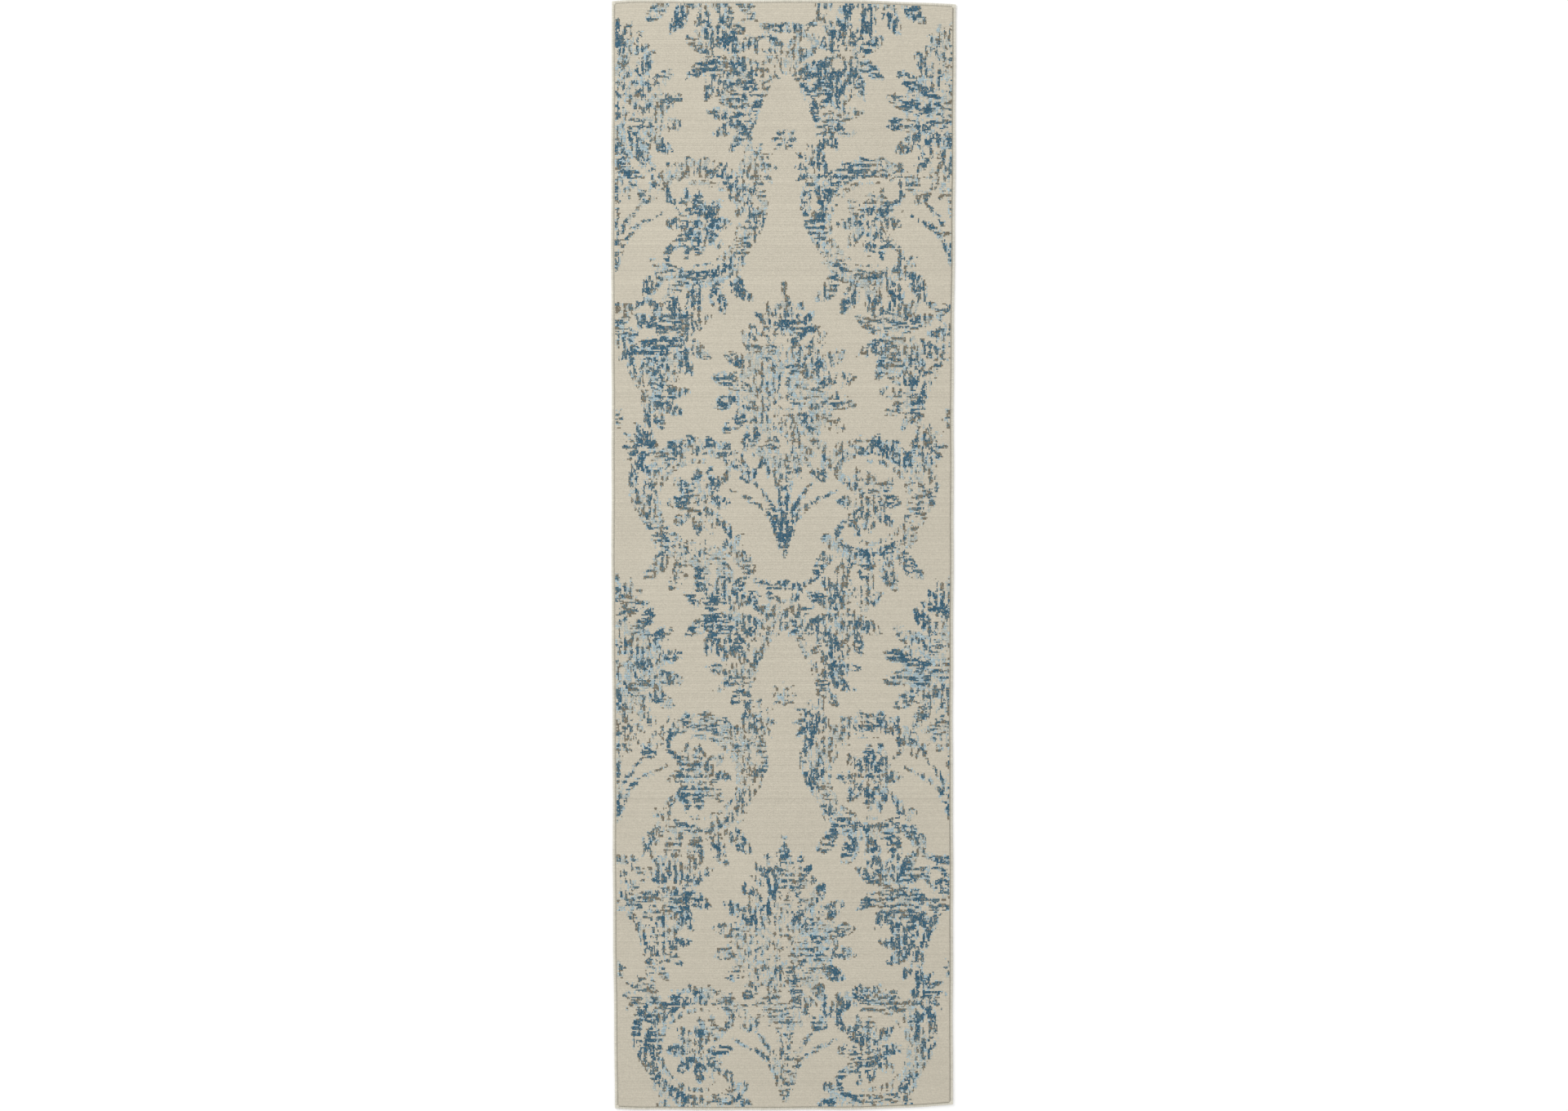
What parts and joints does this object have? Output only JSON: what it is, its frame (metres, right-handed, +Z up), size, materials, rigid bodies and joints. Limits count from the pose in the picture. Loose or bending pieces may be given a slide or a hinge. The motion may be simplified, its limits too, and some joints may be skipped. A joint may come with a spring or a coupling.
{
  "type": "runner rug",
  "caption": "Long narrow cut-pile runner rug with a faded damask ornament, a woven ground, a coated back and yarn-serged edges; it lies flat on a floor.",
  "frame": {"origin": "middle of the underside, on the floor", "axes": "+X across the rug to its right edge, +Y along the rug to its head end, +Z up out of the pile"},
  "size_m": [0.686, 2.232, 0.009],
  "materials": {
    "pile": "matte",
    "ground_weave": "matte",
    "back_coat": "matte",
    "serging": "matte",
    "filler_cord": "matte",
    "seam_thread": "satin"
  },
  "bodies": {
    "root": {"back_coat": "back_coat", "ground_weave": "ground_weave", "pile_field": "pile", "serging_left": "serging", "serging_right": "serging", "serging_head": "serging", "serging_foot": "serging", "corner_whip_head_left": "serging", "corner_whip_head_right": "serging", "corner_whip_foot_left": "serging", "corner_whip_foot_right": "serging", "filler_cord_left": "filler_cord", "filler_cord_right": "filler_cord", "filler_cord_head": "filler_cord", "filler_cord_foot": "filler_cord", "seam_thread_left": "seam_thread", "seam_thread_right": "seam_thread", "seam_thread_head": "seam_thread", "seam_thread_foot": "seam_thread"}
  },
  "joints": []
}
